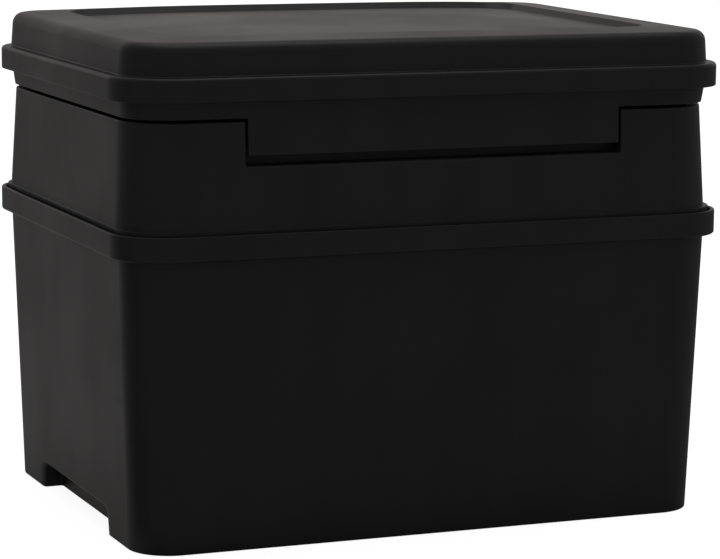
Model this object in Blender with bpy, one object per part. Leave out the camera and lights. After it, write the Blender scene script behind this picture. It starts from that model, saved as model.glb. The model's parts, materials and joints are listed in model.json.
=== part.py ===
"""Lidded tote: a tapered tub, a riser collar that stands in its rim, and a lid hinged to the collar.

Three black mouldings, a steel hinge rod and the rod's two end caps. Metres, +Z up, front at -Y,
origin on the ground under the middle of the tub.
"""

import math

import bmesh
import bpy
from mathutils import Vector

# Whole tote
TOTE_WIDTH = 0.400  # across the tub's rim band
TOTE_DEPTH = 0.300
CORNER_RADIUS = 0.034  # rim band's outer corners, seen from above
WALL = 0.0026  # every moulded wall
SEAT_GAP = 0.0003  # between pieces that rest on each other

# Tub
TUB_HEIGHT = 0.194  # up to the top of the lip
TUB_DRAFT = math.radians(2.0)
FLOOR_THICKNESS = 0.003
FLOOR_ROUND = 0.006  # where the floor meets the walls inside
FOOT_HEIGHT = 0.0035  # the floor stands this far off the ground
FOOT_WIDTH = 0.009
FOOT_ROUND = 0.001
RIM_BAND_HEIGHT = 0.0155
RIM_BAND_REACH = 0.0068  # band's outer face to the wall under it
LIP_HEIGHT = 0.008  # lip above the seat that carries the collar
END_NOTCH_WIDTH = 0.135
END_NOTCH_HEIGHT = 0.017
END_NOTCH_DEPTH = 0.013
END_NOTCH_ROUND = 0.005
END_NOTCH_FLARE = 0.002  # the notch widens this far at each side towards the ground

# Riser collar
COLLAR_HEIGHT = 0.0738  # its foot to its shoulder
COLLAR_DRAFT = math.radians(2.72)
COLLAR_RADIUS = 0.035  # corners of its outer wall, seen from above
BEAD_HEIGHT = 0.010  # thick foot that stands inside the lip
BEAD_CLEARANCE = 0.0017  # lip to bead
BEAD_STEP = 0.00075  # bead's face to the wall above it
SHOULDER_WIDTH = 0.011  # collar's top edge to the upstand
SHOULDER_ROUND = 0.0009
UPSTAND_HEIGHT = 0.0116  # dust rim inside the lid
TONGUE_NOTCH_WIDTH = 0.248
TONGUE_NOTCH_HEIGHT = 0.0263

# Lid
LID_GAP = 0.0016  # shoulder to the skirt's foot
SKIRT_HEIGHT = 0.0105
SKIRT_SETBACK = 0.001  # the skirt and its tongue lie this far inside the collar's face
SKIRT_RADIUS = 0.030  # corners of the skirt's foot, seen from above
LID_BAND_HEIGHT = 0.0148
LID_BAND_REACH = 0.0064  # band's outer face to the wall above it
LID_BAND_INSET = 0.0018  # the lid's band lies this far inside the tub's
LID_BAND_RADIUS = 0.029  # its corners, seen from above
LID_BAND_ROUND = 0.0024  # its top edge
HAT_HEIGHT = 0.0205  # band to the top edge
HAT_DRAFT = math.radians(4.0)
HAT_ROUND = 0.0045
TOP_SLOPE = 0.0021  # the top rises this far from its edge to the recess
TOP_CROWN = 0.0027  # further rise in the middle of the long sides
RECESS_INSET = 0.040  # rim band to the recess, seen from above
RECESS_DEPTH = 0.005
RECESS_FLARE = 0.002  # the recess narrows this far to its floor
RECESS_RADIUS = 0.016  # recess corners, seen from above
TONGUE_SIDE_GAP = 0.0019
FINGER_SLOT = 0.0055  # tongue to the notch's sill
GUSSET_THICKNESS = 0.003
GUSSET_OVERLAP = 0.0025  # gusset past the upstand
LONG_SIDE_GUSSET = 0.25  # from the middle, as a share of the tote's width
SHORT_SIDE_GUSSET = 0.2  # from the middle, as a share of the tote's depth

# Hinge
ROD_DIAMETER = 0.0032
ROD_CLEARANCE = 0.0003
KNUCKLE_RADIUS = 0.0035
HINGE_BEHIND = 0.0045  # rod behind the collar's top edge
HINGE_BELOW = 0.0011  # rod below the shoulder
HINGE_SPREAD = 0.2875  # outer hinges from the middle, as a share of the tote's width
LUG_WIDTH = 0.026
KNUCKLE_WIDTH = 0.012
KNUCKLE_GAP = 0.0005
KNUCKLE_ARC = (-50, 200)  # degrees of the knuckle that stay round outside its bracket
BRACKET_DEPTH = 0.012  # how far the knuckle's bracket reaches down the wall
LID_OPEN_ANGLE = math.radians(103)  # where the lug's heel meets the collar's wall
CAP_RADIUS = 0.0032
CAP_WALL = 0.002
CAP_GRIP = 0.004  # rod inside the cap
CAP_BEVEL = 0.0006

# Fineness of the mesh, and how far joined shapes reach into each other
LEAST_RADIUS = 0.003  # inner corners, seen from above, are never sharper
CORNER_STEPS = 6
SIDE_STEPS = 8
ROUND_STEPS = 2
CIRCLE_STEPS = 20
SHARP_ANGLE = math.radians(40)  # edges sharper than this aren't shaded smooth
EDGE_ROUND = 0.0007
BITE = 0.0008
CUT_PAST = 0.010

# Finish
TUB_COLOUR = (0.012, 0.012, 0.012)
LID_COLOUR = (0.013, 0.0125, 0.0125)
CAP_COLOUR = (0.014, 0.014, 0.014)
STEEL_COLOUR = (0.55, 0.55, 0.56)
PLASTIC_ROUGHNESS = 0.5
STEEL_ROUGHNESS = 0.35

# Levels that follow from the sizes above
seat_level = TUB_HEIGHT - LIP_HEIGHT
rim_foot_level = TUB_HEIGHT - RIM_BAND_HEIGHT
collar_foot_level = seat_level + SEAT_GAP
bead_level = collar_foot_level + BEAD_HEIGHT
shoulder_level = collar_foot_level + COLLAR_HEIGHT
upstand_level = shoulder_level + UPSTAND_HEIGHT
skirt_foot_level = shoulder_level + LID_GAP
lid_band_foot_level = skirt_foot_level + SKIRT_HEIGHT
lid_band_top_level = lid_band_foot_level + LID_BAND_HEIGHT
hat_level = lid_band_top_level + HAT_HEIGHT
ridge_level = hat_level + TOP_SLOPE
sill_level = shoulder_level - TONGUE_NOTCH_HEIGHT


def tub_inset(level):
    """Distance of the tub's outer wall inside the rim band's face."""
    return RIM_BAND_REACH + (rim_foot_level - level) * math.tan(TUB_DRAFT)


def collar_inset(level):
    """Distance of the collar's outer wall inside the rim band's face."""
    foot = WALL + BEAD_CLEARANCE + BEAD_STEP
    return foot + (level - bead_level) * math.tan(COLLAR_DRAFT)


def hat_inset(level):
    """Distance of the lid's outer wall inside the rim band's face."""
    foot = LID_BAND_INSET + LID_BAND_REACH
    return foot + (level - lid_band_top_level) * math.tan(HAT_DRAFT)


def collar_radius(inset, level):
    """Corner radius of a ring of the collar: its bead and upstand follow the tub's rim."""
    in_bead = inset < collar_inset(bead_level) - BEAD_STEP / 4
    if in_bead or inset > upstand_inset - BITE:
        return None
    return COLLAR_RADIUS + collar_inset(level) - inset


def lid_radius(inset, level):
    """Corner radius of a ring of the lid: recess, skirt's foot, or parallel to its band."""
    if inset > RECESS_INSET - 2 * WALL:
        return RECESS_RADIUS
    if level < (skirt_foot_level + lid_band_foot_level) / 2:
        return SKIRT_RADIUS + skirt_inset - inset
    return max(LID_BAND_RADIUS + LID_BAND_INSET - inset, LEAST_RADIUS)


upstand_inset = collar_inset(shoulder_level) + SHOULDER_WIDTH
skirt_inset = collar_inset(shoulder_level) + SKIRT_SETBACK
collar_top_back = TOTE_DEPTH / 2 - collar_inset(shoulder_level)
hinge_axis = Vector((0, collar_top_back + HINGE_BEHIND, shoulder_level - HINGE_BELOW))
hinge_spacing = TOTE_WIDTH * HINGE_SPREAD
hinge_half_width = LUG_WIDTH / 2 + KNUCKLE_GAP + KNUCKLE_WIDTH
hinge_reach = hinge_spacing + hinge_half_width
hinge_places = (-hinge_spacing, 0, hinge_spacing)


def rounded(section):
    """Points of an open section, with each corner's radius turned into a short arc."""
    points = []
    for index, (inset, level, radius) in enumerate(section):
        corner = Vector((inset, level))
        if radius == 0:
            points.append(corner)
            continue
        before = (Vector(section[index - 1][:2]) - corner).normalized()
        after = (Vector(section[index + 1][:2]) - corner).normalized()
        half_angle = before.angle(after) / 2
        centre = corner + (before + after).normalized() * radius / math.sin(half_angle)
        start = corner + before * radius / math.tan(half_angle) - centre
        turn = start.angle_signed(corner + after * radius / math.tan(half_angle) - centre)
        for step in range(ROUND_STEPS + 1):
            angle = -turn * step / ROUND_STEPS
            points.append(centre + Vector((start.x * math.cos(angle) - start.y * math.sin(angle),
                                           start.x * math.sin(angle) + start.y * math.cos(angle))))
    return points


def plan_ring(inset, level, radius=None, crown=False):
    """Rounded rectangle parallel to the rim band, seen from above, anticlockwise from +X."""
    half_width = TOTE_WIDTH / 2 - inset
    half_depth = TOTE_DEPTH / 2 - inset
    radius = radius or max(CORNER_RADIUS - inset, LEAST_RADIUS)
    points = []
    for quarter, (side_x, side_y) in enumerate(((1, 1), (-1, 1), (-1, -1), (1, -1))):
        for step in range(CORNER_STEPS + 1):
            angle = math.pi / 2 * (quarter + step / CORNER_STEPS)
            x = side_x * (half_width - radius) + radius * math.cos(angle)
            y = side_y * (half_depth - radius) + radius * math.sin(angle)
            points.append((x, y))
        if crown and quarter in (0, 2):
            run = half_width - radius
            points += [(side_x * run * (1 - 2 * step / SIDE_STEPS), side_y * half_depth)
                       for step in range(1, SIDE_STEPS)]
    return [(x, y, level + (top_crown(inset, x) if crown else 0)) for x, y in points]


def top_crown(inset, x):
    """Extra height of the lid's top: none at its edge, most in the middle of the recess."""
    edge = hat_inset(hat_level)
    share = min(max((inset - edge) / (RECESS_INSET - edge), 0), 1)
    return TOP_CROWN * share * max(1 - (x / (TOTE_WIDTH / 2 - RECESS_INSET)) ** 2, 0)


def loft(rings, tube=False):
    """Closed skin through rings of equal count, capped at both ends or joined end to end."""
    mesh = bmesh.new()
    loops = [[mesh.verts.new(point) for point in ring] for ring in rings]
    count = len(loops[0])
    pairs = list(zip(loops, loops[1:]))
    if tube:
        pairs.append((loops[-1], loops[0]))
    for near, far in pairs:
        for index in range(count):
            following = (index + 1) % count
            mesh.faces.new((near[index], near[following], far[following], far[index]))
    if not tube:
        for loop in (loops[0], loops[-1]):
            for index in range(count // 2 - 1):
                mesh.faces.new((loop[index], loop[index + 1], loop[-2 - index], loop[-1 - index]))
    return mesh


def bar(outline, start, end):
    """Outline in Y and Z, run along X from start to end."""
    mesh = bmesh.new()
    near = [mesh.verts.new((start, y, z)) for y, z in outline]
    far = [mesh.verts.new((end, y, z)) for y, z in outline]
    for index in range(len(outline)):
        following = (index + 1) % len(outline)
        mesh.faces.new((near[index], near[following], far[following], far[index]))
    mesh.faces.new(near)
    mesh.faces.new(far)
    return mesh


def block(low, high):
    """Box between two corners."""
    outline = [(low[1], low[2]), (high[1], low[2]), (high[1], high[2]), (low[1], high[2])]
    return bar(outline, low[0], high[0])


def circle(radius, start_degrees=0, end_degrees=360, steps=CIRCLE_STEPS):
    """Arc about the hinge rod, as Y and Z points; 0 degrees is behind the rod, 90 above it."""
    closed = end_degrees - start_degrees == 360
    points = []
    for step in range(steps if closed else steps + 1):
        angle = math.radians(start_degrees + (end_degrees - start_degrees) * step / steps)
        points.append((hinge_axis.y + radius * math.cos(angle), hinge_axis.z + radius * math.sin(angle)))
    return points


def turned(profile):
    """Solid turned about the hinge rod, from radius and X pairs."""
    rings = []
    for radius, x in profile:
        ring = []
        for step in range(CIRCLE_STEPS):
            angle = 2 * math.pi * (step + 0.5) / CIRCLE_STEPS
            ring.append((x, hinge_axis.y + radius * math.cos(angle),
                         hinge_axis.z + radius * math.sin(angle)))
        rings.append(ring)
    return loft(rings)


def add_object(name, shapes, origin=(0, 0, 0)):
    """One object from shapes in world coordinates, with its origin where given."""
    data = bpy.data.meshes.new(name)
    whole = bmesh.new()
    for shape in shapes:
        bmesh.ops.recalc_face_normals(shape, faces=shape.faces)
        shape.to_mesh(data)
        whole.from_mesh(data)
        shape.free()
    bmesh.ops.translate(whole, vec=-Vector(origin), verts=whole.verts)
    whole.to_mesh(data)
    whole.free()
    data.shade_smooth()
    data.set_sharp_from_angle(angle=SHARP_ANGLE)
    piece = bpy.data.objects.new(name, data)
    piece.location = origin
    bpy.context.scene.collection.objects.link(piece)
    return piece


def combine(piece, name, shapes, operation):
    """Join shapes to a piece, or cut them out of it, with a hidden tool object."""
    tool = add_object(name, shapes)
    tool.hide_render = True
    tool.display_type = "WIRE"
    change = piece.modifiers.new(name, "BOOLEAN")
    change.operation = operation
    change.object = tool


def finish(piece, name, colour, roughness, metallic=0.0):
    """Give a piece its own material."""
    material = bpy.data.materials.new(name)
    material.use_nodes = True
    shader = material.node_tree.nodes["Principled BSDF"]
    shader.inputs["Base Color"].default_value = (*colour, 1)
    shader.inputs["Roughness"].default_value = roughness
    shader.inputs["Metallic"].default_value = metallic
    piece.data.materials.append(material)


def end_notch_outline():
    """Hand notch seen from the end, Y and Z, open to the ground."""
    half = END_NOTCH_WIDTH / 2
    top = END_NOTCH_HEIGHT
    below = -CUT_PAST
    spread = END_NOTCH_FLARE * (top - below) / top
    section = [(-half - spread, below, 0), (-half, top, END_NOTCH_ROUND),
               (half, top, END_NOTCH_ROUND), (half + spread, below, 0)]
    return [tuple(point) for point in rounded(section)]


def make_tub():
    """Tapered box: foot, drafted walls, rim band with a lip, and a hand notch in each end."""
    foot_inset = tub_inset(0)
    floor_level = FOOT_HEIGHT + FLOOR_THICKNESS
    web_level = seat_level - WALL
    section = [
        (foot_inset + FOOT_WIDTH, FOOT_HEIGHT, 0),
        (foot_inset + FOOT_WIDTH, 0, 0),
        (foot_inset, 0, FOOT_ROUND),
        (tub_inset(web_level), web_level, 0),
        (WALL, web_level, 0),
        (WALL, rim_foot_level, EDGE_ROUND),
        (0, rim_foot_level, EDGE_ROUND),
        (0, TUB_HEIGHT, EDGE_ROUND),
        (WALL, TUB_HEIGHT, EDGE_ROUND),
        (WALL, seat_level, 0),
        (tub_inset(seat_level) + WALL, seat_level, EDGE_ROUND),
        (tub_inset(floor_level) + WALL, floor_level, FLOOR_ROUND),
        (tub_inset(floor_level) + WALL + 2 * FLOOR_ROUND, floor_level, 0),
    ]
    tub = add_object("tub", [loft([plan_ring(*point) for point in rounded(section)])])
    housings, cutters = [], []
    for side in (-1, 1):
        wall = TOTE_WIDTH / 2 - foot_inset
        pocket_end = wall - END_NOTCH_DEPTH
        half = END_NOTCH_WIDTH / 2 + END_NOTCH_FLARE + WALL
        outer, inner = side * (wall - BITE), side * (pocket_end - WALL)
        housings.append(block((min(outer, inner), -half, 0),
                              (max(outer, inner), half, END_NOTCH_HEIGHT + WALL)))
        outside = side * (wall + CUT_PAST)
        cutters.append(bar(end_notch_outline(), side * pocket_end, outside))
    combine(tub, "end_notch_housings", housings, "UNION")
    combine(tub, "end_notches", cutters, "DIFFERENCE")
    finish(tub, "tub_plastic", TUB_COLOUR, PLASTIC_ROUGHNESS)


def make_collar():
    """Frame that stands in the tub's lip: bead, drafted wall, shoulder, upstand and tongue pocket."""
    bead_inset = WALL + BEAD_CLEARANCE
    section = [
        (collar_inset(collar_foot_level) + WALL, collar_foot_level, 0),
        (bead_inset, collar_foot_level, 0),
        (bead_inset, bead_level, BEAD_STEP / 2),
        (collar_inset(bead_level), bead_level, 0),
        (collar_inset(shoulder_level), shoulder_level, SHOULDER_ROUND),
        (upstand_inset, shoulder_level, 0),
        (upstand_inset, upstand_level, EDGE_ROUND),
        (upstand_inset + WALL, upstand_level, EDGE_ROUND),
        (upstand_inset + WALL, shoulder_level - WALL, 0),
        (collar_inset(shoulder_level) + WALL, shoulder_level - WALL, 0),
    ]
    rings = [plan_ring(*point, collar_radius(*point)) for point in rounded(section)]
    collar = add_object("riser_collar", [loft(rings, tube=True)], (0, 0, collar_foot_level))

    half = TONGUE_NOTCH_WIDTH / 2
    front = -TOTE_DEPTH / 2
    pocket_back = front + upstand_inset
    wall_middle = front + collar_inset(sill_level) + WALL / 2
    pocket = block((-half - WALL, wall_middle, sill_level - WALL),
                   (half + WALL, pocket_back + WALL + BITE / 2, shoulder_level - BITE))
    combine(collar, "tongue_pocket", [pocket], "UNION")
    notch = block((-half, front - CUT_PAST, sill_level), (half, pocket_back, shoulder_level + LID_GAP))
    combine(collar, "tongue_notch", [notch], "DIFFERENCE")

    bracket_top = shoulder_level - SHOULDER_ROUND
    bracket_foot = bracket_top - BRACKET_DEPTH
    outline = circle(KNUCKLE_RADIUS, *KNUCKLE_ARC)
    for level in (bracket_top, bracket_foot):
        outline.append((TOTE_DEPTH / 2 - collar_inset(level) - WALL / 2, level))
    knuckles = []
    for place in hinge_places:
        for side in (-1, 1):
            near = place + side * (LUG_WIDTH / 2 + KNUCKLE_GAP)
            knuckles.append(bar(outline, near, near + side * KNUCKLE_WIDTH))
    combine(collar, "collar_knuckles", knuckles, "UNION")
    combine(collar, "collar_rod_holes", [rod_hole()], "DIFFERENCE")
    finish(collar, "collar_plastic", TUB_COLOUR, PLASTIC_ROUGHNESS)


def rod_hole():
    """Cutter for the rod's bore, past both ends of the hinge."""
    reach = hinge_reach + CUT_PAST
    return bar(circle(ROD_DIAMETER / 2 + ROD_CLEARANCE), -reach, reach)


def lid_section():
    """Lid's section from the middle of the recess, over the edge and back under the panel."""
    floor_level = ridge_level - RECESS_DEPTH
    band_inset = LID_BAND_INSET
    channel_top = lid_band_top_level - WALL
    recess_foot = RECESS_INSET + RECESS_FLARE
    return [
        (recess_foot, floor_level, 0),
        (RECESS_INSET, ridge_level, 0),
        (hat_inset(hat_level), hat_level, HAT_ROUND),
        (hat_inset(lid_band_top_level), lid_band_top_level, EDGE_ROUND),
        (band_inset, lid_band_top_level, LID_BAND_ROUND),
        (band_inset, lid_band_foot_level, EDGE_ROUND),
        (band_inset + WALL, lid_band_foot_level, EDGE_ROUND),
        (band_inset + WALL, channel_top, 0),
        (hat_inset(channel_top), channel_top, 0),
        (skirt_inset, lid_band_foot_level, 0),
        (skirt_inset, skirt_foot_level, EDGE_ROUND),
        (skirt_inset + WALL, skirt_foot_level, EDGE_ROUND),
        (skirt_inset + WALL, lid_band_foot_level, 0),
        (hat_inset(lid_band_top_level) + WALL, lid_band_top_level, 0),
        (hat_inset(hat_level) + WALL, hat_level - WALL, 0),
        (RECESS_INSET - WALL, ridge_level - WALL, 0),
        (recess_foot - WALL, floor_level - WALL, 0),
    ]


def lid_lug_outline():
    """Hinge lug seen from the side: round in front of the rod, square heel behind and below it."""
    wall = TOTE_DEPTH / 2 - collar_inset(hinge_axis.z - KNUCKLE_RADIUS)
    wall_distance = hinge_axis.y - wall
    heel = (wall_distance + KNUCKLE_RADIUS * math.cos(LID_OPEN_ANGLE)) / math.sin(LID_OPEN_ANGLE)
    front = hinge_axis.y - KNUCKLE_RADIUS
    back = hinge_axis.y + KNUCKLE_RADIUS
    root = TOTE_DEPTH / 2 - skirt_inset - BITE
    band_middle = TOTE_DEPTH / 2 - LID_BAND_INSET - WALL / 2
    top = lid_band_top_level - BITE
    outline = [(root, top), (root, lid_band_foot_level), (front, hinge_axis.z)]
    outline += circle(KNUCKLE_RADIUS, 180, 270, CIRCLE_STEPS // 4)[1:]
    outline += [(hinge_axis.y, hinge_axis.z - heel), (back, hinge_axis.z - heel),
                (back, hinge_axis.z + KNUCKLE_RADIUS), (band_middle, lid_band_foot_level + BITE),
                (band_middle, top)]
    return outline


def lid_gussets():
    """Ribs under the lid's top that stand on the collar's upstand."""
    outer = hat_inset(hat_level) + WALL / 2
    inner = upstand_inset + WALL + GUSSET_OVERLAP
    low = upstand_level + SEAT_GAP
    high = hat_level - BITE
    half = GUSSET_THICKNESS / 2
    along = TOTE_WIDTH * LONG_SIDE_GUSSET
    across = TOTE_DEPTH * SHORT_SIDE_GUSSET
    ribs = []
    for side in (-1, 1):
        for place in (-along, along):
            near, far = sorted((side * (TOTE_DEPTH / 2 - outer), side * (TOTE_DEPTH / 2 - inner)))
            ribs.append(block((place - half, near, low), (place + half, far, high)))
        for place in (-across, across):
            near, far = sorted((side * (TOTE_WIDTH / 2 - outer), side * (TOTE_WIDTH / 2 - inner)))
            ribs.append(block((near, place - half, low), (far, place + half, high)))
    return ribs


def make_lid():
    """Skirt, hollow band and raised crowned top with a recess, with tongue, gussets and hinge lugs."""
    section = lid_section()
    rings = [plan_ring(*point, lid_radius(*point), crown=True) for point in rounded(section)]
    lid = add_object("lid", [loft(rings)], hinge_axis)

    front = -TOTE_DEPTH / 2
    half = TONGUE_NOTCH_WIDTH / 2 - TONGUE_SIDE_GAP
    foot = sill_level + FINGER_SLOT
    root = (skirt_foot_level + lid_band_foot_level) / 2
    foot_face = front + collar_inset(foot) + SKIRT_SETBACK
    root_face = front + collar_inset(root) + SKIRT_SETBACK
    tongue = [(foot_face, foot), (foot_face + WALL, foot), (root_face + WALL, root), (root_face, root)]
    lugs = [bar(lid_lug_outline(), place - LUG_WIDTH / 2, place + LUG_WIDTH / 2)
            for place in hinge_places]
    combine(lid, "lid_tongue", [bar(tongue, -half, half)], "UNION")
    combine(lid, "lid_lugs", lugs, "UNION")
    combine(lid, "lid_gussets", lid_gussets(), "UNION")
    combine(lid, "lid_rod_holes", [rod_hole()], "DIFFERENCE")
    finish(lid, "lid_plastic", LID_COLOUR, PLASTIC_ROUGHNESS)


def make_hinge_rod():
    """Steel rod through all the knuckles, standing out at both ends for its caps."""
    reach = hinge_reach + SEAT_GAP + CAP_GRIP
    radius = ROD_DIAMETER / 2
    rod = add_object("hinge_rod", [turned([(radius, -reach), (radius, reach)])], hinge_axis)
    finish(rod, "rod_steel", STEEL_COLOUR, STEEL_ROUGHNESS, metallic=1.0)


def make_rod_cap(name, side):
    """Push-on cap that closes one end of the rod."""
    face = hinge_reach + SEAT_GAP
    bore_end = face + CAP_GRIP + SEAT_GAP
    end = bore_end + CAP_WALL
    bore = ROD_DIAMETER / 2 + SEAT_GAP
    profile = [(bore, bore_end), (bore, face), (CAP_RADIUS, face),
               (CAP_RADIUS, end - CAP_BEVEL), (CAP_RADIUS - CAP_BEVEL, end)]
    origin = (side * face, hinge_axis.y, hinge_axis.z)
    cap = add_object(name, [turned([(radius, side * x) for radius, x in profile])], origin)
    finish(cap, name + "_plastic", CAP_COLOUR, PLASTIC_ROUGHNESS)


for leftover in list(bpy.data.objects):
    bpy.data.objects.remove(leftover)
make_tub()
make_collar()
make_lid()
make_hinge_rod()
make_rod_cap("rod_cap_left", -1)
make_rod_cap("rod_cap_right", 1)
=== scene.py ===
import json
import math

import bmesh
import bpy
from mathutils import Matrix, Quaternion, Vector


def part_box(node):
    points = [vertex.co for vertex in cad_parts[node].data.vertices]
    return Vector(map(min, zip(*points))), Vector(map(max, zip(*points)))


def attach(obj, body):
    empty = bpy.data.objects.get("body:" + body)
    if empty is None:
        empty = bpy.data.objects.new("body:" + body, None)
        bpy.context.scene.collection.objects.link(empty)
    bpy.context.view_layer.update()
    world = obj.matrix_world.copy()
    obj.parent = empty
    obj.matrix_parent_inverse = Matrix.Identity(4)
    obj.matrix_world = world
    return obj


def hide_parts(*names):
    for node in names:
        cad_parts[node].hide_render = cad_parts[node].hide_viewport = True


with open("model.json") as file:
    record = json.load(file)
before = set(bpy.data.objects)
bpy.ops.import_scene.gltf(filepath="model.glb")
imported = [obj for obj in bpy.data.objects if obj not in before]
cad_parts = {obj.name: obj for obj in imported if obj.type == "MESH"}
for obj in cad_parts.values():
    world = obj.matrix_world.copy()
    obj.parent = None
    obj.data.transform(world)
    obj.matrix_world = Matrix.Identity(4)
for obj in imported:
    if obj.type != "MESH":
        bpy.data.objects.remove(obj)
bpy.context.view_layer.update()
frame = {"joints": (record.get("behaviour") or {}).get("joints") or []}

# Tub: the tapered box that holds the load, one injection moulding in black plastic with thin walls.
# It stands on a narrow foot ring. The band round its rim ends in a lip that keeps the collar in
# place, and a notch cut up from the ground in each end takes the fingers.
tub_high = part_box("tub")[1]
rim_half_width = tub_high.x
rim_half_depth = tub_high.y
rim_top = tub_high.z
rim_corner_radius = 0.034
least_radius = 0.003
wall = 0.0026
tub_draft = math.radians(2.0)
foot_height = 0.0035
foot_width = 0.009
foot_round = 0.001
floor_thickness = 0.003
floor_top = foot_height + floor_thickness
floor_round = 0.006
rim_height = 0.0155
rim_foot = rim_top - rim_height
rim_reach = 0.0062
rim_round = 0.0009
rim_foot_round = 0.0016
inner_round = 0.0008
lip_height = 0.008
collar_seat = rim_top - lip_height
web_foot = collar_seat - wall


def tub_inset(level):
    """How far the tub's outer wall lies inside the face of the rim band."""
    return rim_reach + (rim_foot - level) * math.tan(tub_draft)


def with_arcs(section, steps=6):
    """Points of a section whose corners are (inset, level, radius), each radius drawn as an arc."""
    points = []
    for index, (inset, level, radius) in enumerate(section):
        corner = Vector((inset, level))
        if not radius:
            points.append(corner)
            continue
        before = (Vector(section[index - 1][:2]) - corner).normalized()
        after = (Vector(section[(index + 1) % len(section)][:2]) - corner).normalized()
        half_angle = before.angle(after) / 2
        centre = corner + (before + after).normalized() * radius / math.sin(half_angle)
        start = corner + before * radius / math.tan(half_angle) - centre
        end = corner + after * radius / math.tan(half_angle) - centre
        points += [centre + radius * start.slerp(end, step / steps) for step in range(steps + 1)]
    return points


def ring_at(inset, level, corner_radius=None, corner_steps=16, long_steps=16):
    """Rounded rectangle that far inside the rim band's face, with points along its long sides."""
    radius = corner_radius or max(rim_corner_radius - inset, least_radius)
    reach_x = rim_half_width - inset - radius
    reach_y = rim_half_depth - inset - radius
    ring = []
    for quarter, (side_x, side_y) in enumerate(((1, 1), (-1, 1), (-1, -1), (1, -1))):
        for step in range(corner_steps + 1):
            turn = math.pi / 2 * (quarter + step / corner_steps)
            ring.append(Vector((side_x * reach_x + radius * math.cos(turn),
                                side_y * reach_y + radius * math.sin(turn), level)))
        if quarter in (0, 2):
            ring += [Vector((side_x * reach_x * (1 - 2 * step / long_steps),
                             side_y * (reach_y + radius), level)) for step in range(1, long_steps)]
    return ring


def skin(name, rings, ends="flat"):
    """Object with a closed skin through rings of equal count; its ends are flat, in strips, or joined."""
    mesh = bmesh.new()
    loops = [[mesh.verts.new(point) for point in ring] for ring in rings]
    count = len(loops[0])
    for near, far in zip(loops, loops[1:] + loops[:1] if ends == "joined" else loops[1:]):
        for index in range(count):
            following = (index + 1) % count
            mesh.faces.new((near[index], near[following], far[following], far[index]))
    for loop in (loops[0], loops[-1]):
        if ends == "flat":
            mesh.faces.new(loop)
        if ends == "strips":
            for index in range(count // 2 - 1):
                mesh.faces.new((loop[index], loop[index + 1], loop[-2 - index], loop[-1 - index]))
    bmesh.ops.recalc_face_normals(mesh, faces=mesh.faces)
    data = bpy.data.meshes.new(name)
    mesh.to_mesh(data)
    mesh.free()
    piece = bpy.data.objects.new(name, data)
    bpy.context.scene.collection.objects.link(piece)
    return piece


def shape_with(piece, tools, operation):
    """Cut the tools out of a piece, or join them to it, and leave one mesh."""
    for tool in tools:
        step = piece.modifiers.new(tool.name, "BOOLEAN")
        step.operation = operation
        step.object = tool
    shaped = bpy.data.meshes.new_from_object(piece.evaluated_get(bpy.context.evaluated_depsgraph_get()))
    piece.modifiers.clear()
    piece.data = shaped
    for tool in tools:
        bpy.data.objects.remove(tool)


def mark_glossy_sheen_edges(data, narrow=0.0015, least_bend=math.radians(9)):
    """Vertex attribute that is 1 along rounded outer edges, which get less roughness and a painted highlight.
    """
    mesh = bmesh.new()
    mesh.from_mesh(data)
    edge_gloss_and_sheen = []
    for vert in mesh.verts:
        bends = [edge.calc_face_angle_signed(0) for edge in vert.link_edges]
        slim = all(face.calc_area() < narrow * max(e.calc_length() for e in face.edges)
                   for face in vert.link_faces)
        edge_gloss_and_sheen.append(float(slim and max(bends) > least_bend))
    mesh.free()
    data.attributes.new("edge_gloss_and_sheen", "FLOAT", "POINT").data.foreach_set("value", edge_gloss_and_sheen)


def set_out(piece, node, body, material, sharp_from=math.radians(35)):
    """Shade a moulding, give it its material, and let it stand for its CAD node."""
    piece.data.materials.clear()
    piece.data.materials.append(material)
    piece.data.shade_smooth()
    piece.data.set_sharp_from_angle(angle=sharp_from)
    normals = piece.modifiers.new("even_flats", "WEIGHTED_NORMAL")
    normals.keep_sharp = True
    # Rounded outer edges are marked for less roughness and a painted highlight in the colour.
    mark_glossy_sheen_edges(piece.data)
    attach(piece, body)
    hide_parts(node)


tub_section = [
    (tub_inset(0) + foot_width + floor_round, foot_height, 0),
    (tub_inset(0) + foot_width, foot_height, inner_round),
    (tub_inset(0) + foot_width, 0, inner_round),
    (tub_inset(0), 0, foot_round),
    (tub_inset(web_foot), web_foot, inner_round),
    (wall, web_foot, inner_round),
    (wall, rim_foot, rim_round),
    (0, rim_foot, rim_foot_round),
    (0, rim_top, rim_round),
    (wall, rim_top, rim_round),
    (wall, collar_seat, inner_round),
    (tub_inset(collar_seat) + wall, collar_seat, rim_round),
    (tub_inset(floor_top) + wall, floor_top, floor_round),
    (tub_inset(floor_top) + wall + 2 * floor_round, floor_top, 0),
]
wall_corner_share = 0.6


def tub_ring(inset, level):
    """Ring of the tub: the band and lip follow the rim's corners, the wall below has rounder ones."""
    if inset < (wall + rim_reach) / 2:
        return ring_at(inset, level)
    outer = tub_inset(level)
    return ring_at(inset, level, rim_corner_radius - wall_corner_share * outer - (inset - outer))


tub = skin("tub_moulding", [tub_ring(*point) for point in with_arcs(tub_section)])

notch_width = 0.135
notch_height = 0.017
notch_depth = 0.013
notch_round = 0.006
notch_flare = 0.002
notch_mouth_round = 0.0022
notch_mouth_spread = 4.0
notch_back_round = 0.002
slack = 0.00005  # keeps two faces out of one plane
past = 0.010  # a cutter reaches this far beyond the face


def notch_ring(side, depth, grow, below, spread=1):
    """Hand notch's outline at a depth behind the end wall, raised by grow, and widened by grow times
    spread, down to the level below."""
    half = notch_width / 2 + grow * spread
    top = notch_height + grow
    flare = notch_flare * (top - below) / top
    radius = notch_round + max(grow, 0)
    outline = with_arcs([(-half - flare, below, 0), (-half, top, radius),
                         (half, top, radius), (half + flare, below, 0)])
    return [(side * (rim_half_width - tub_inset(z) - depth), y, z) for y, z in outline]


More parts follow.
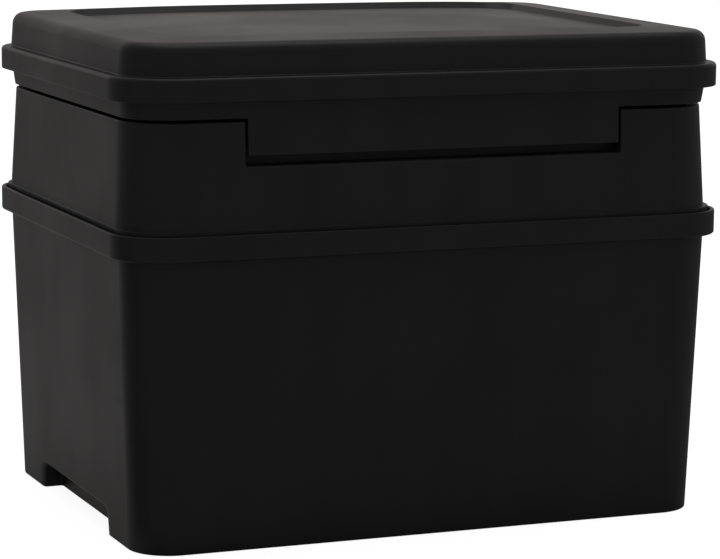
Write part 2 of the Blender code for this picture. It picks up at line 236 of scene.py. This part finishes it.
def quarter_turn(radius, steps=5):
    """Pairs of run and rise along a quarter circle that leaves a face square and ends flat on it."""
    turns = [math.pi / 2 * step / steps for step in range(steps + 1)]
    return [(radius * (1 - math.sin(turn)), radius * (1 - math.cos(turn))) for turn in turns]


for side, end in ((-1, "left"), (1, "right")):
    back = notch_depth + wall
    housing_rings = [notch_ring(side, wall / 2, wall, slack)]
    housing_rings += [notch_ring(side, back - run, wall - rise, slack)
                      for run, rise in quarter_turn(notch_back_round)]
    shape_with(tub, [skin("notch_housing_" + end, housing_rings)], "UNION")
    cutter_rings = [notch_ring(side, -past, notch_mouth_round, -past, notch_mouth_spread)]
    cutter_rings += [notch_ring(side, run, rise, -past, notch_mouth_spread)
                     for run, rise in reversed(quarter_turn(notch_mouth_round))]
    cutter_rings += [notch_ring(side, notch_depth - run, -rise, -past)
                     for run, rise in quarter_turn(notch_back_round)]
    shape_with(tub, [skin("notch_cutter_" + end, cutter_rings)], "DIFFERENCE")


def black_plastic(name, colour, seed):
    """Satin black moulding: fine spark grain, slow changes of tone, flow streaks, glossier edges with a
    painted highlight.
    """
    material = bpy.data.materials.new(name)
    material.use_nodes = True
    nodes = material.node_tree.nodes
    join = material.node_tree.links.new
    shader = nodes["Principled BSDF"]
    shader.inputs["IOR"].default_value = 1.49
    shader.inputs["Specular IOR Level"].default_value = 0.25
    place = nodes.new("ShaderNodeTexCoord")
    shift = nodes.new("ShaderNodeVectorMath")
    shift.inputs[1].default_value = (seed, 2 * seed, 3 * seed)
    join(place.outputs["Object"], shift.inputs[0])

    def noise(scale, detail, stretch=(1, 1, 1)):
        """Noise over the piece, in waves per metre, pulled out along an axis by stretch."""
        pull = nodes.new("ShaderNodeVectorMath")
        pull.operation = "MULTIPLY"
        pull.inputs[1].default_value = stretch
        pattern = nodes.new("ShaderNodeTexNoise")
        pattern.inputs["Scale"].default_value = scale
        pattern.inputs["Detail"].default_value = detail
        join(shift.outputs[0], pull.inputs[0])
        join(pull.outputs[0], pattern.inputs["Vector"])
        return pattern.outputs["Fac"]

    def spread(value, low, high, to_low, to_high):
        """Value moved smoothly from one range to another, and held at its ends."""
        step = nodes.new("ShaderNodeMapRange")
        step.interpolation_type = "SMOOTHSTEP"
        for socket, number in zip(step.inputs[1:5], (low, high, to_low, to_high)):
            socket.default_value = number
        join(value, step.inputs[0])
        return step.outputs[0]

    def sum_of(first, second):
        """Two values added."""
        step = nodes.new("ShaderNodeMath")
        join(first, step.inputs[0])
        join(second, step.inputs[1])
        return step.outputs[0]

    # Mask of rounded outer edges: they get a painted highlight in the colour and a little less roughness.
    edge_gloss_and_sheen = nodes.new("ShaderNodeAttribute")
    edge_gloss_and_sheen.attribute_name = "edge_gloss_and_sheen"
    clouds = noise(11, 4)
    streaks = noise(45, 3, (1, 1, 0.12))
    scuffs = noise(260, 2, (1, 0.05, 0.35))
    tone = sum_of(spread(clouds, 0.3, 0.7, 0, 0.45), spread(streaks, 0.35, 0.7, 0, 0.3))
    tone = sum_of(tone, spread(scuffs, 0.68, 0.8, 0, 0.15))
    # Rounded outer edges painted lighter: a painted highlight.
    tone = sum_of(tone, spread(edge_gloss_and_sheen.outputs["Fac"], 0, 1, 0, 0.25))
    mix = nodes.new("ShaderNodeMix")
    mix.data_type = "RGBA"
    mix.inputs["A"].default_value = (*(0.8 * part for part in colour), 1)
    mix.inputs["B"].default_value = (*(1.4 * part for part in colour), 1)
    join(tone, mix.inputs["Factor"])
    join(mix.outputs["Result"], shader.inputs["Base Color"])

    rough = sum_of(spread(clouds, 0.3, 0.7, 0.38, 0.46), spread(scuffs, 0.66, 0.8, 0, 0.03))
    rough = sum_of(rough, spread(edge_gloss_and_sheen.outputs["Fac"], 0, 1, 0, -0.04))
    join(rough, shader.inputs["Roughness"])

    grain = nodes.new("ShaderNodeBump")
    grain.inputs["Strength"].default_value = 0.35
    grain.inputs["Distance"].default_value = 0.00004
    join(sum_of(noise(2600, 2), spread(noise(700, 1), 0.2, 0.8, 0, 0.6)), grain.inputs["Height"])
    join(grain.outputs["Normal"], shader.inputs["Normal"])
    return material


set_out(tub, "tub", "tub", black_plastic("tub_black", (0.012, 0.012, 0.012), 1.3))

# Riser collar: a separate frame, moulded like the tub, that stands on the seat inside the tub's lip.
# Its wall narrows upwards to a shoulder under the lid, where an upstand keeps out dust. The front
# has a pocket for the lid's tongue, and the back carries the knuckles of the hinge.
collar_low, collar_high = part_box("riser_collar")
collar_foot = collar_low.z
upstand_top = collar_high.z
upstand_height = 0.0116
shoulder = upstand_top - upstand_height
collar_draft = math.radians(2.72)
collar_corner_radius = 0.035
lip_clearance = 0.0017
bead_inset = wall + lip_clearance
bead_height = 0.010
bead_top = collar_foot + bead_height
bead_step = 0.00075
bead_round = 0.0003
shoulder_round = 0.0009
shoulder_inner_round = 0.4 * wall
shoulder_width = 0.011


def collar_inset(level):
    """How far the collar's outer wall lies inside the face of the rim band."""
    return bead_inset + bead_step + (level - bead_top) * math.tan(collar_draft)


upstand_inset = collar_inset(shoulder) + shoulder_width


def collar_ring(inset, level):
    """Ring of the collar: bead and upstand follow the tub's rim, the wall has corners of its own."""
    if inset < bead_inset + bead_step / 2 or inset > upstand_inset - wall / 2:
        return ring_at(inset, level)
    return ring_at(inset, level, collar_corner_radius + collar_inset(level) - inset)


collar_section = [
    (collar_inset(collar_foot) + wall, collar_foot, inner_round),
    (bead_inset, collar_foot, bead_round),
    (bead_inset, bead_top, bead_round),
    (collar_inset(bead_top), bead_top, bead_round),
    (collar_inset(shoulder), shoulder, shoulder_round),
    (upstand_inset, shoulder, inner_round),
    (upstand_inset, upstand_top, rim_round),
    (upstand_inset + wall, upstand_top, rim_round),
    (upstand_inset + wall, shoulder - wall, shoulder_inner_round),
    (collar_inset(shoulder) + wall, shoulder - wall, inner_round),
]
collar = skin("collar_moulding", [collar_ring(*point) for point in with_arcs(collar_section)], "joined")

pocket_half_width = 0.1232
pocket_height = 0.0263
pocket_sill = shoulder - pocket_height
pocket_corner = 0.0008
pocket_mouth_round = 0.0022
pocket_top_round = 0.0013
pocket_back = rim_half_depth - upstand_inset
lid_gap = 0.0016


def wall_face(depth):
    """Rule for the Y of a point that deep behind the collar's front face, at any level."""
    return lambda level: collar_inset(level) - rim_half_depth + depth


def pocket_block(face):
    """Outline of the block behind the collar's front that the pocket is cut into."""
    half = pocket_half_width + wall
    outline = [(-half, shoulder - inner_round), (-half, pocket_sill - wall),
               (half, pocket_sill - wall), (half, shoulder - inner_round)]
    return [(x, face(z), z) for x, z in outline]


def pocket_ring(face, grow):
    """Pocket's outline, widened by grow, open upwards with its top corners turned outwards."""
    half = pocket_half_width + grow
    foot = pocket_sill - grow
    radius = pocket_corner + grow
    flare = half + 2 * pocket_top_round
    brim = shoulder + slack
    outline = with_arcs([(-flare, shoulder + lid_gap, 0), (-flare, brim, 0), (-half, brim, pocket_top_round),
                         (-half, foot, radius), (half, foot, radius),
                         (half, brim, pocket_top_round), (flare, brim, 0), (flare, shoulder + lid_gap, 0)])
    return [(x, face(z), z) for x, z in outline]


pocket_blocks = [pocket_block(wall_face(wall / 2)), pocket_block(lambda level: wall - pocket_back)]
shape_with(collar, [skin("tongue_pocket", pocket_blocks)], "UNION")
mouth_rings = [pocket_ring(wall_face(-past), pocket_mouth_round)]
mouth_rings += [pocket_ring(wall_face(run), rise)
                for run, rise in reversed(quarter_turn(pocket_mouth_round))]
mouth_rings += [pocket_ring(lambda level: -pocket_back, 0)]
shape_with(collar, [skin("tongue_notch", mouth_rings)], "DIFFERENCE")

hinge = next(joint for joint in frame["joints"] if joint["type"] == "hinge")
axis_y, axis_z = hinge["pos_m"][1:]
knuckle_radius = 0.0035
knuckle_width = 0.012
knuckle_gap = 0.0005
knuckle_round = 0.0005
lug_width = 0.026
bracket_depth = 0.012
hinge_places = (-0.115, 0, 0.115)
rod_bore = 0.0019


def about_axis(radius, start, end, steps):
    """Arc about the hinge axis as Y and Z points; 0 degrees is behind the axis and 90 above it."""
    turns = [math.radians(start + (end - start) * step / steps) for step in range(steps + 1)]
    return [(axis_y + radius * math.cos(turn), axis_z + radius * math.sin(turn)) for turn in turns]


def drawn_in(outline, amount, sharpest=0.3):
    """Outline with every side moved inwards by amount, and corners by no more than amount / sharpest."""
    points = [Vector(point) for point in outline]
    area = sum(a.x * b.y - b.x * a.y for a, b in zip(points, points[1:] + points[:1]))
    turn = 1 if area > 0 else -1
    moved = []
    for index, point in enumerate(points):
        before = (point - points[index - 1]).normalized()
        after = (points[(index + 1) % len(points)] - point).normalized()
        bisector = (before.orthogonal() + after.orthogonal()).normalized() * turn
        moved.append(point + bisector * amount / max(bisector.dot(before.orthogonal() * turn), sharpest))
    return moved


def rounded_bar(name, outline, start, end, edge):
    """Bar along X with an outline in Y and Z, and its end edges rounded."""
    rings = [(start + run, rise) for run, rise in reversed(quarter_turn(edge, 3))]
    rings += [(end - run, rise) for run, rise in quarter_turn(edge, 3)]
    rings = [[(x, y, z) for y, z in drawn_in(outline, inwards)] for x, inwards in rings]
    return skin(name, rings)


bracket_top = shoulder - shoulder_round
knuckle_outline = about_axis(knuckle_radius, -50, 200, 24)
for level in (bracket_top, bracket_top - bracket_depth):
    knuckle_outline.append((rim_half_depth - collar_inset(level) - wall / 2, level))
knuckles = []
for place in hinge_places:
    near = lug_width / 2 + knuckle_gap
    for start in (place - near - knuckle_width, place + near):
        knuckles.append(rounded_bar("knuckle", knuckle_outline, start, start + knuckle_width, knuckle_round))
shape_with(collar, knuckles, "UNION")


def rod_hole():
    """Cutter for the bore of the hinge rod."""
    circle = about_axis(rod_bore, 0, 360, 32)[:-1]
    return skin("rod_hole", [[(x, y, z) for y, z in circle] for x in (-rim_half_width, rim_half_width)])


shape_with(collar, [rod_hole()], "DIFFERENCE")
set_out(collar, "riser_collar", "collar",
        black_plastic("collar_black", (0.012, 0.012, 0.012), 4.1))

# Hinge rod: a straight length of drawn steel, pushed through the collar's knuckles and the lid's lugs.
# Both ends are chamfered to start in the bores.
rod_low, rod_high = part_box("hinge_rod")
rod_radius = (rod_high.y - rod_low.y) / 2
rod_chamfer = 0.0004


def lathe(name, profile, steps=40):
    """Piece turned about the hinge axis from pairs of radius and place along it."""
    rings = []
    for radius, x in profile:
        circle = about_axis(radius, 0, 360, steps)[:-1]
        rings.append([(x, y, z) for y, z in circle])
    return skin(name, rings)


rod = lathe("hinge_rod_bar", [(rod_radius - rod_chamfer, rod_low.x), (rod_radius, rod_low.x + rod_chamfer),
                              (rod_radius, rod_high.x - rod_chamfer), (rod_radius - rod_chamfer, rod_high.x)])
steel = bpy.data.materials.new("drawn_steel")
steel.use_nodes = True
steel_nodes = steel.node_tree.nodes
steel_shader = steel_nodes["Principled BSDF"]
steel_shader.inputs["Metallic"].default_value = 1
steel_place = steel_nodes.new("ShaderNodeTexCoord")
steel_pull = steel_nodes.new("ShaderNodeVectorMath")
steel_pull.operation = "MULTIPLY"
steel_pull.inputs[1].default_value = (0.02, 1, 1)
steel_lines = steel_nodes.new("ShaderNodeTexNoise")
steel_lines.inputs["Scale"].default_value = 3000
steel_shade = steel_nodes.new("ShaderNodeMix")
steel_shade.data_type = "RGBA"
steel_shade.inputs["A"].default_value = (0.42, 0.42, 0.43, 1)
steel_shade.inputs["B"].default_value = (0.62, 0.62, 0.63, 1)
steel_rough = steel_nodes.new("ShaderNodeMapRange")
steel_rough.inputs["To Min"].default_value = 0.25
steel_rough.inputs["To Max"].default_value = 0.45
steel_join = steel.node_tree.links.new
steel_join(steel_place.outputs["Object"], steel_pull.inputs[0])
steel_join(steel_pull.outputs[0], steel_lines.inputs["Vector"])
steel_join(steel_lines.outputs["Fac"], steel_shade.inputs["Factor"])
steel_join(steel_shade.outputs["Result"], steel_shader.inputs["Base Color"])
steel_join(steel_lines.outputs["Fac"], steel_rough.inputs["Value"])
steel_join(steel_rough.outputs["Result"], steel_shader.inputs["Roughness"])
set_out(rod, "hinge_rod", "collar", steel)

# Rod caps: two small black push-on caps, moulded with a blind bore, that grip the ends of the rod
# and keep it from walking out of the hinge.
cap_round = 0.0012
cap_end_gap = 0.0003
cap_plastic = black_plastic("cap_black", (0.014, 0.014, 0.014), 7.7)
for side, end in ((-1, "left"), (1, "right")):
    cap_low, cap_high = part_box("rod_cap_" + end)
    cap_radius = (cap_high.y - cap_low.y) / 2
    face, tip = sorted((abs(cap_low.x), abs(cap_high.x)))
    bore_end = abs((rod_low if side < 0 else rod_high).x) + cap_end_gap
    profile = [(rod_bore, bore_end), (rod_bore, face), (cap_radius - rod_chamfer, face),
               (cap_radius, face + rod_chamfer)]
    profile += [(cap_radius - rise, tip - run) for run, rise in quarter_turn(cap_round)]
    cap = lathe("rod_cap_" + end + "_moulding", [(radius, side * x) for radius, x in profile])
    set_out(cap, "rod_cap_" + end, "collar", cap_plastic)

# Lid: one black moulding with a hollow band, a raised top sunk in the middle, and a short skirt.
# A tongue hangs from the skirt into the collar's pocket for lifting. Ribs under the top stand on
# the collar's upstand, and lugs at the back turn on the hinge rod.
skirt_foot = shoulder + lid_gap
skirt_setback = 0.0004
skirt_taper = 0.0012
skirt_inset = collar_inset(shoulder) + skirt_setback
skirt_corner_radius = 0.030
skirt_round = 0.0006
skirt_height = 0.0105
band_foot = skirt_foot + skirt_height
band_height = 0.0148
band_top = band_foot + band_height
band_inset = 0.0
band_reach = 0.0064
band_corner_radius = 0.037
band_top_round = 0.0024
band_foot_round = 0.0009
hat_height = 0.0205
hat_edge = band_top + hat_height
hat_draft = math.radians(4.0)
hat_round = 0.0070
hat_foot_round = 0.0009
ridge_rise = 0.0018
ridge = hat_edge + ridge_rise
ridge_round = 0.0009
top_crown = 0.0018
top_fall = 0.0018
recess_inset = 0.040
recess_radius = 0.016
recess_depth = 0.0038
recess_foot_inset = recess_inset + recess_depth
recess_floor = ridge - recess_depth
recess_floor_round = 0.0015
panel_insets = (0.062, 0.078, 0.096, 0.116, 0.138)
panel_pillow = 0.0016
panel_corner_share = 0.9


def hat_inset(level):
    """How far the wall of the raised top lies inside the face of the tub's rim band."""
    return band_inset + band_reach + (level - band_top) * math.tan(hat_draft)


def held(share):
    """Share kept between 0 and 1."""
    return min(max(share, 0), 1)


def crowned(ring, inset, level):
    """Ring bent as the top is: lower at the front, arched along the back, its panel a slight pillow."""
    edge = hat_inset(hat_edge)
    fall = top_fall * held((level - band_top) / (hat_edge - band_top))
    arch = top_crown * held((inset - edge) / (recess_inset - edge))
    off_edge = held((inset - recess_foot_inset) / (rim_half_depth - recess_foot_inset))
    pillow = panel_pillow * (1 - (1 - off_edge) ** 2)
    bent = []
    for point in ring:
        along = held(1 - (point.x / (rim_half_width - recess_inset)) ** 4)
        to_back = held(0.5 + point.y / (2 * (rim_half_depth - recess_inset)))
        rise = fall * point.y / (2 * rim_half_depth) + arch * along * to_back + pillow
        bent.append(point + Vector((0, 0, rise)))
    return bent


def lid_corner(inset, level):
    """Corner radius of a ring of the lid: the recess's, the skirt's foot's, or parallel to the band's."""
    if inset > recess_inset - 2 * wall:
        return min(recess_radius, panel_corner_share * (rim_half_depth - inset))
    if level < (skirt_foot + band_foot) / 2:
        return skirt_corner_radius + skirt_inset - inset
    return max(band_corner_radius + band_inset - inset, least_radius)


channel_top = band_top - wall
lid_section = [(inset, recess_floor, 0) for inset in reversed(panel_insets)]
lid_section += [
    (recess_foot_inset + 2 * recess_floor_round, recess_floor, 0),
    (recess_foot_inset, recess_floor, recess_floor_round),
    (recess_inset, ridge, ridge_round),
    (hat_inset(hat_edge), hat_edge, hat_round),
    (hat_inset(band_top), band_top, hat_foot_round),
    (band_inset, band_top, band_top_round),
    (band_inset, band_foot, band_foot_round),
    (band_inset + wall, band_foot, band_foot_round),
    (band_inset + wall, channel_top, inner_round),
    (hat_inset(channel_top), channel_top, inner_round),
    (skirt_inset - skirt_taper, band_foot, 0),
    (skirt_inset, skirt_foot, skirt_round),
    (skirt_inset + wall, skirt_foot, skirt_round),
    (skirt_inset - skirt_taper + wall, band_foot, 0),
    (hat_inset(band_top) + wall, band_top, 0),
    (hat_inset(hat_edge) + wall, hat_edge - wall, hat_round - wall / 2),
    (recess_inset - wall, ridge - wall, inner_round),
    (recess_foot_inset - wall, recess_floor - wall, inner_round),
    (recess_foot_inset + 2 * recess_floor_round, recess_floor - wall, 0),
]
lid_section += [(inset, recess_floor - wall, 0) for inset in panel_insets]
lid_rings = []
for inset, level in with_arcs(lid_section):
    lid_rings.append(crowned(ring_at(inset, level, lid_corner(inset, level)), inset, level))
lid = skin("lid_moulding", lid_rings, "strips")

tongue_side_gap = 0.0011
tongue_half_width = pocket_half_width - tongue_side_gap
finger_slot = 0.0055
tongue_foot = pocket_sill + finger_slot
tongue_root = (skirt_foot + band_foot) / 2
tongue_round = 0.0009
tongue_face = wall_face(skirt_setback)
tongue_corners = [(tongue_face(tongue_root), tongue_root, 0),
                  (tongue_face(tongue_foot), tongue_foot, tongue_round),
                  (tongue_face(tongue_foot) + wall, tongue_foot, tongue_round),
                  (tongue_face(tongue_root) + wall, tongue_root, 0)]
tongue = rounded_bar("tongue", [tuple(point) for point in with_arcs(tongue_corners)],
                     -tongue_half_width, tongue_half_width, tongue_round)

lid_open_angle = math.radians(103)
heel_wall = axis_y - rim_half_depth + collar_inset(axis_z - knuckle_radius)
heel = (heel_wall + knuckle_radius * math.cos(lid_open_angle)) / math.sin(lid_open_angle)
lug_root = rim_half_depth - skirt_inset - wall / 3
lug_top = band_top - wall / 3
band_middle = rim_half_depth - band_inset - wall / 2
lug_outline = [(lug_root, lug_top), (lug_root, band_foot)]
lug_outline += about_axis(knuckle_radius, 180, 270, 8)
lug_outline += [(axis_y, axis_z - heel), (axis_y + knuckle_radius, axis_z - heel),
                (axis_y + knuckle_radius, axis_z + knuckle_radius),
                (band_middle, band_foot + wall / 3), (band_middle, lug_top)]
lugs = [rounded_bar("lug", lug_outline, place - lug_width / 2, place + lug_width / 2, knuckle_round)
        for place in hinge_places]

rib_thickness = 0.003
rib_round = 0.0005
rib_gap = 0.0003
rib_foot = upstand_top + rib_gap
rib_outer = hat_inset(hat_edge) + wall / 2
rib_overhang = 0.0025
rib_inner = upstand_inset + wall + rib_overhang
rib_corner = 0.8 * hat_round
long_rib_place = 0.100
short_rib_place = 0.060


def rib(place, turn):
    """Rib across the top's underside, drawn on the front side and turned about the tote's middle."""
    side_y = turn @ Vector((0, -1, 0))
    reach = rim_half_depth if abs(side_y.y) > 0.5 else rim_half_width
    away = turn @ Vector((place, rib_inner - reach, 0))
    top = hat_edge - wall / 3 + top_fall * away.y / (2 * rim_half_depth)
    outline = [(rib_outer - reach, rib_foot), (rib_inner - reach, rib_foot), (rib_inner - reach, top),
               (rib_outer - reach + rib_corner, top), (rib_outer - reach, top - rib_corner)]
    piece = rounded_bar("rib", outline, place - rib_thickness / 2, place + rib_thickness / 2, rib_round)
    piece.data.transform(turn.to_matrix().to_4x4())
    return piece


ribs = []
for quarter in range(4):
    turn = Quaternion((0, 0, 1), quarter * math.pi / 2)
    place = short_rib_place if quarter % 2 else long_rib_place
    ribs += [rib(-place, turn), rib(place, turn)]
shape_with(lid, [tongue] + lugs + ribs, "UNION")
shape_with(lid, [rod_hole()], "DIFFERENCE")
set_out(lid, "lid", "lid", black_plastic("lid_black", (0.013, 0.0125, 0.0125), 2.6))

# Studio: a pale paper floor that runs out to white and up behind the tote, a large softbox overhead,
# and the dim rest of the room, which the tote's front and left end face.
# The camera is a long lens at the front left, a little above the lid.
floor_mesh = bpy.data.meshes.new("floor")
floor_half = 12.0
floor_mesh.from_pydata([(-floor_half, -floor_half, 0), (floor_half, -floor_half, 0),
                        (floor_half, floor_half, 0), (-floor_half, floor_half, 0)], [], [(0, 1, 2, 3)])
floor = bpy.data.objects.new("floor", floor_mesh)
# The paper's middle, from which its fade and gloss are measured, lies under the near corner.
floor.location = (-rim_half_width, -rim_half_depth, 0)
bpy.context.scene.collection.objects.link(floor)


def seen_white(tree, direction, backwards, glosses):
    """Factor and colour for rays that meet the white paper: 1 and white to the camera, and in a gloss a
    warm white with the sum of shares that each rise between two angles from the way backwards."""
    add = tree.nodes.new
    join = tree.links.new
    rays = add("ShaderNodeLightPath")
    straight = add("ShaderNodeVectorMath")
    straight.operation = "NORMALIZE"
    facing = add("ShaderNodeVectorMath")
    facing.operation = "DOT_PRODUCT"
    facing.inputs[1].default_value = backwards.normalized()
    join(direction, straight.inputs[0])
    join(straight.outputs["Vector"], facing.inputs[0])
    whole = add("ShaderNodeMath")
    for (start, end, level), place in zip(glosses, whole.inputs):
        share = add("ShaderNodeMapRange")
        share.interpolation_type = "SMOOTHSTEP"
        for socket, number in zip(share.inputs[1:5], (math.cos(start), math.cos(end), 0, level)):
            socket.default_value = number
        join(facing.outputs["Value"], share.inputs["Value"])
        join(share.outputs["Result"], place)
    looking = add("ShaderNodeMath")
    looking.operation = "MAXIMUM"
    in_gloss = add("ShaderNodeMath")
    in_gloss.operation = "MULTIPLY"
    either = add("ShaderNodeMath")
    either.operation = "MAXIMUM"
    join(rays.outputs["Is Camera Ray"], looking.inputs[0])
    join(rays.outputs["Is Transmission Ray"], looking.inputs[1])
    join(rays.outputs["Is Glossy Ray"], in_gloss.inputs[0])
    join(whole.outputs[0], in_gloss.inputs[1])
    join(looking.outputs[0], either.inputs[0])
    join(in_gloss.outputs[0], either.inputs[1])
    colour = add("ShaderNodeMix")
    colour.data_type = "RGBA"
    colour.inputs["A"].default_value = warm_white
    colour.inputs["B"].default_value = (1, 1, 1, 1)
    join(looking.outputs[0], colour.inputs["Factor"])
    return either.outputs[0], colour.outputs["Result"]


warm_white = (1, 0.91, 0.89, 1)
# Each share of gloss: the angle where it starts, the angle where it is whole, and its level.
floor_glosses = ((math.radians(55), math.radians(10), 0.18), (math.radians(75), math.radians(110), 0.19))
floor_back = Vector((0, 1, 0))
paper = bpy.data.materials.new("floor_paper")
paper.use_nodes = True
paper_nodes = paper.node_tree.nodes
paper_join = paper.node_tree.links.new
paper_nodes.clear()
paper_matt = paper_nodes.new("ShaderNodeBsdfDiffuse")
paper_matt.inputs["Color"].default_value = (0.35, 0.35, 0.35, 1)
paper_place = paper_nodes.new("ShaderNodeTexCoord")
paper_run = paper_nodes.new("ShaderNodeVectorMath")
paper_run.operation = "LENGTH"
paper_fade = paper_nodes.new("ShaderNodeMapRange")
paper_fade.interpolation_type = "SMOOTHSTEP"
for name, number in (("From Min", 0.25), ("From Max", 0.6), ("To Min", 0.92), ("To Max", 1.0)):
    paper_fade.inputs[name].default_value = number
paper_glow = paper_nodes.new("ShaderNodeEmission")
paper_white = paper_nodes.new("ShaderNodeAddShader")
paper_mix = paper_nodes.new("ShaderNodeMixShader")
paper_out = paper_nodes.new("ShaderNodeOutputMaterial")
paper_join(paper_place.outputs["Object"], paper_run.inputs[0])
paper_join(paper_run.outputs["Value"], paper_fade.inputs["Value"])
paper_join(paper_fade.outputs["Result"], paper_glow.inputs["Strength"])
paper_join(paper_matt.outputs[0], paper_white.inputs[0])
paper_join(paper_glow.outputs[0], paper_white.inputs[1])
paper_seen, paper_colour = seen_white(paper.node_tree, paper_place.outputs["Object"], floor_back,
                                      floor_glosses)
paper_join(paper_colour, paper_glow.inputs["Color"])
paper_join(paper_seen, paper_mix.inputs["Fac"])
paper_join(paper_matt.outputs[0], paper_mix.inputs[1])
paper_join(paper_white.outputs[0], paper_mix.inputs[2])
paper_join(paper_mix.outputs[0], paper_out.inputs["Surface"])
floor_mesh.materials.append(paper)

sweep_glosses = ((math.radians(50), math.radians(30), 0.36), (math.radians(95), math.radians(125), 0.12))
sweep_back = Vector((0.2, 1, 0.1))
room_level = 0.27
world = bpy.data.worlds.new("studio")
bpy.context.scene.world = world
world.use_nodes = True
room = world.node_tree.nodes
room_join = world.node_tree.links.new
room.clear()
room_place = room.new("ShaderNodeTexCoord")
room_light = room.new("ShaderNodeBackground")
room_light.inputs["Color"].default_value = (1, 1, 1, 1)
room_light.inputs["Strength"].default_value = room_level
room_white = room.new("ShaderNodeBackground")
room_mix = room.new("ShaderNodeMixShader")
room_out = room.new("ShaderNodeOutputWorld")
room_seen, room_colour = seen_white(world.node_tree, room_place.outputs["Generated"], sweep_back,
                                    sweep_glosses)
room_join(room_colour, room_white.inputs["Color"])
room_join(room_seen, room_mix.inputs["Fac"])
room_join(room_light.outputs[0], room_mix.inputs[1])
room_join(room_white.outputs[0], room_mix.inputs[2])
room_join(room_mix.outputs[0], room_out.inputs["Surface"])

softbox = bpy.data.lights.new("softbox", "AREA")
softbox.shape = "RECTANGLE"
softbox.size = 2.0
softbox.size_y = 1.6
softbox.energy = 13.5
softbox_stand = bpy.data.objects.new("softbox", softbox)
softbox_stand.location = (0.1, 0.2, 2.4)
softbox_stand.rotation_mode = "QUATERNION"
softbox_stand.rotation_quaternion = (Vector((0, 0, 0.15)) - softbox_stand.location).to_track_quat("-Z", "Y")
bpy.context.scene.collection.objects.link(softbox_stand)

view_azimuth = math.radians(-22.14)
view_elevation = math.radians(8.87)
view_roll = math.radians(0.47)
view_distance = 1.965
view_target = Vector((0.0063, -0.0029, 0.1389))
lens = bpy.data.cameras.new("camera")
lens.lens = 150.5
lens.sensor_width = 36
camera = bpy.data.objects.new("camera", lens)
back = Vector((math.sin(view_azimuth) * math.cos(view_elevation),
               -math.cos(view_azimuth) * math.cos(view_elevation), math.sin(view_elevation)))
camera.location = view_target + back * view_distance
camera.rotation_mode = "QUATERNION"
camera.rotation_quaternion = (-back).to_track_quat("-Z", "Y") @ Quaternion((0, 0, 1), view_roll)
bpy.context.scene.collection.objects.link(camera)
bpy.context.scene.camera = camera
bpy.context.scene.view_settings.view_transform = "Standard"
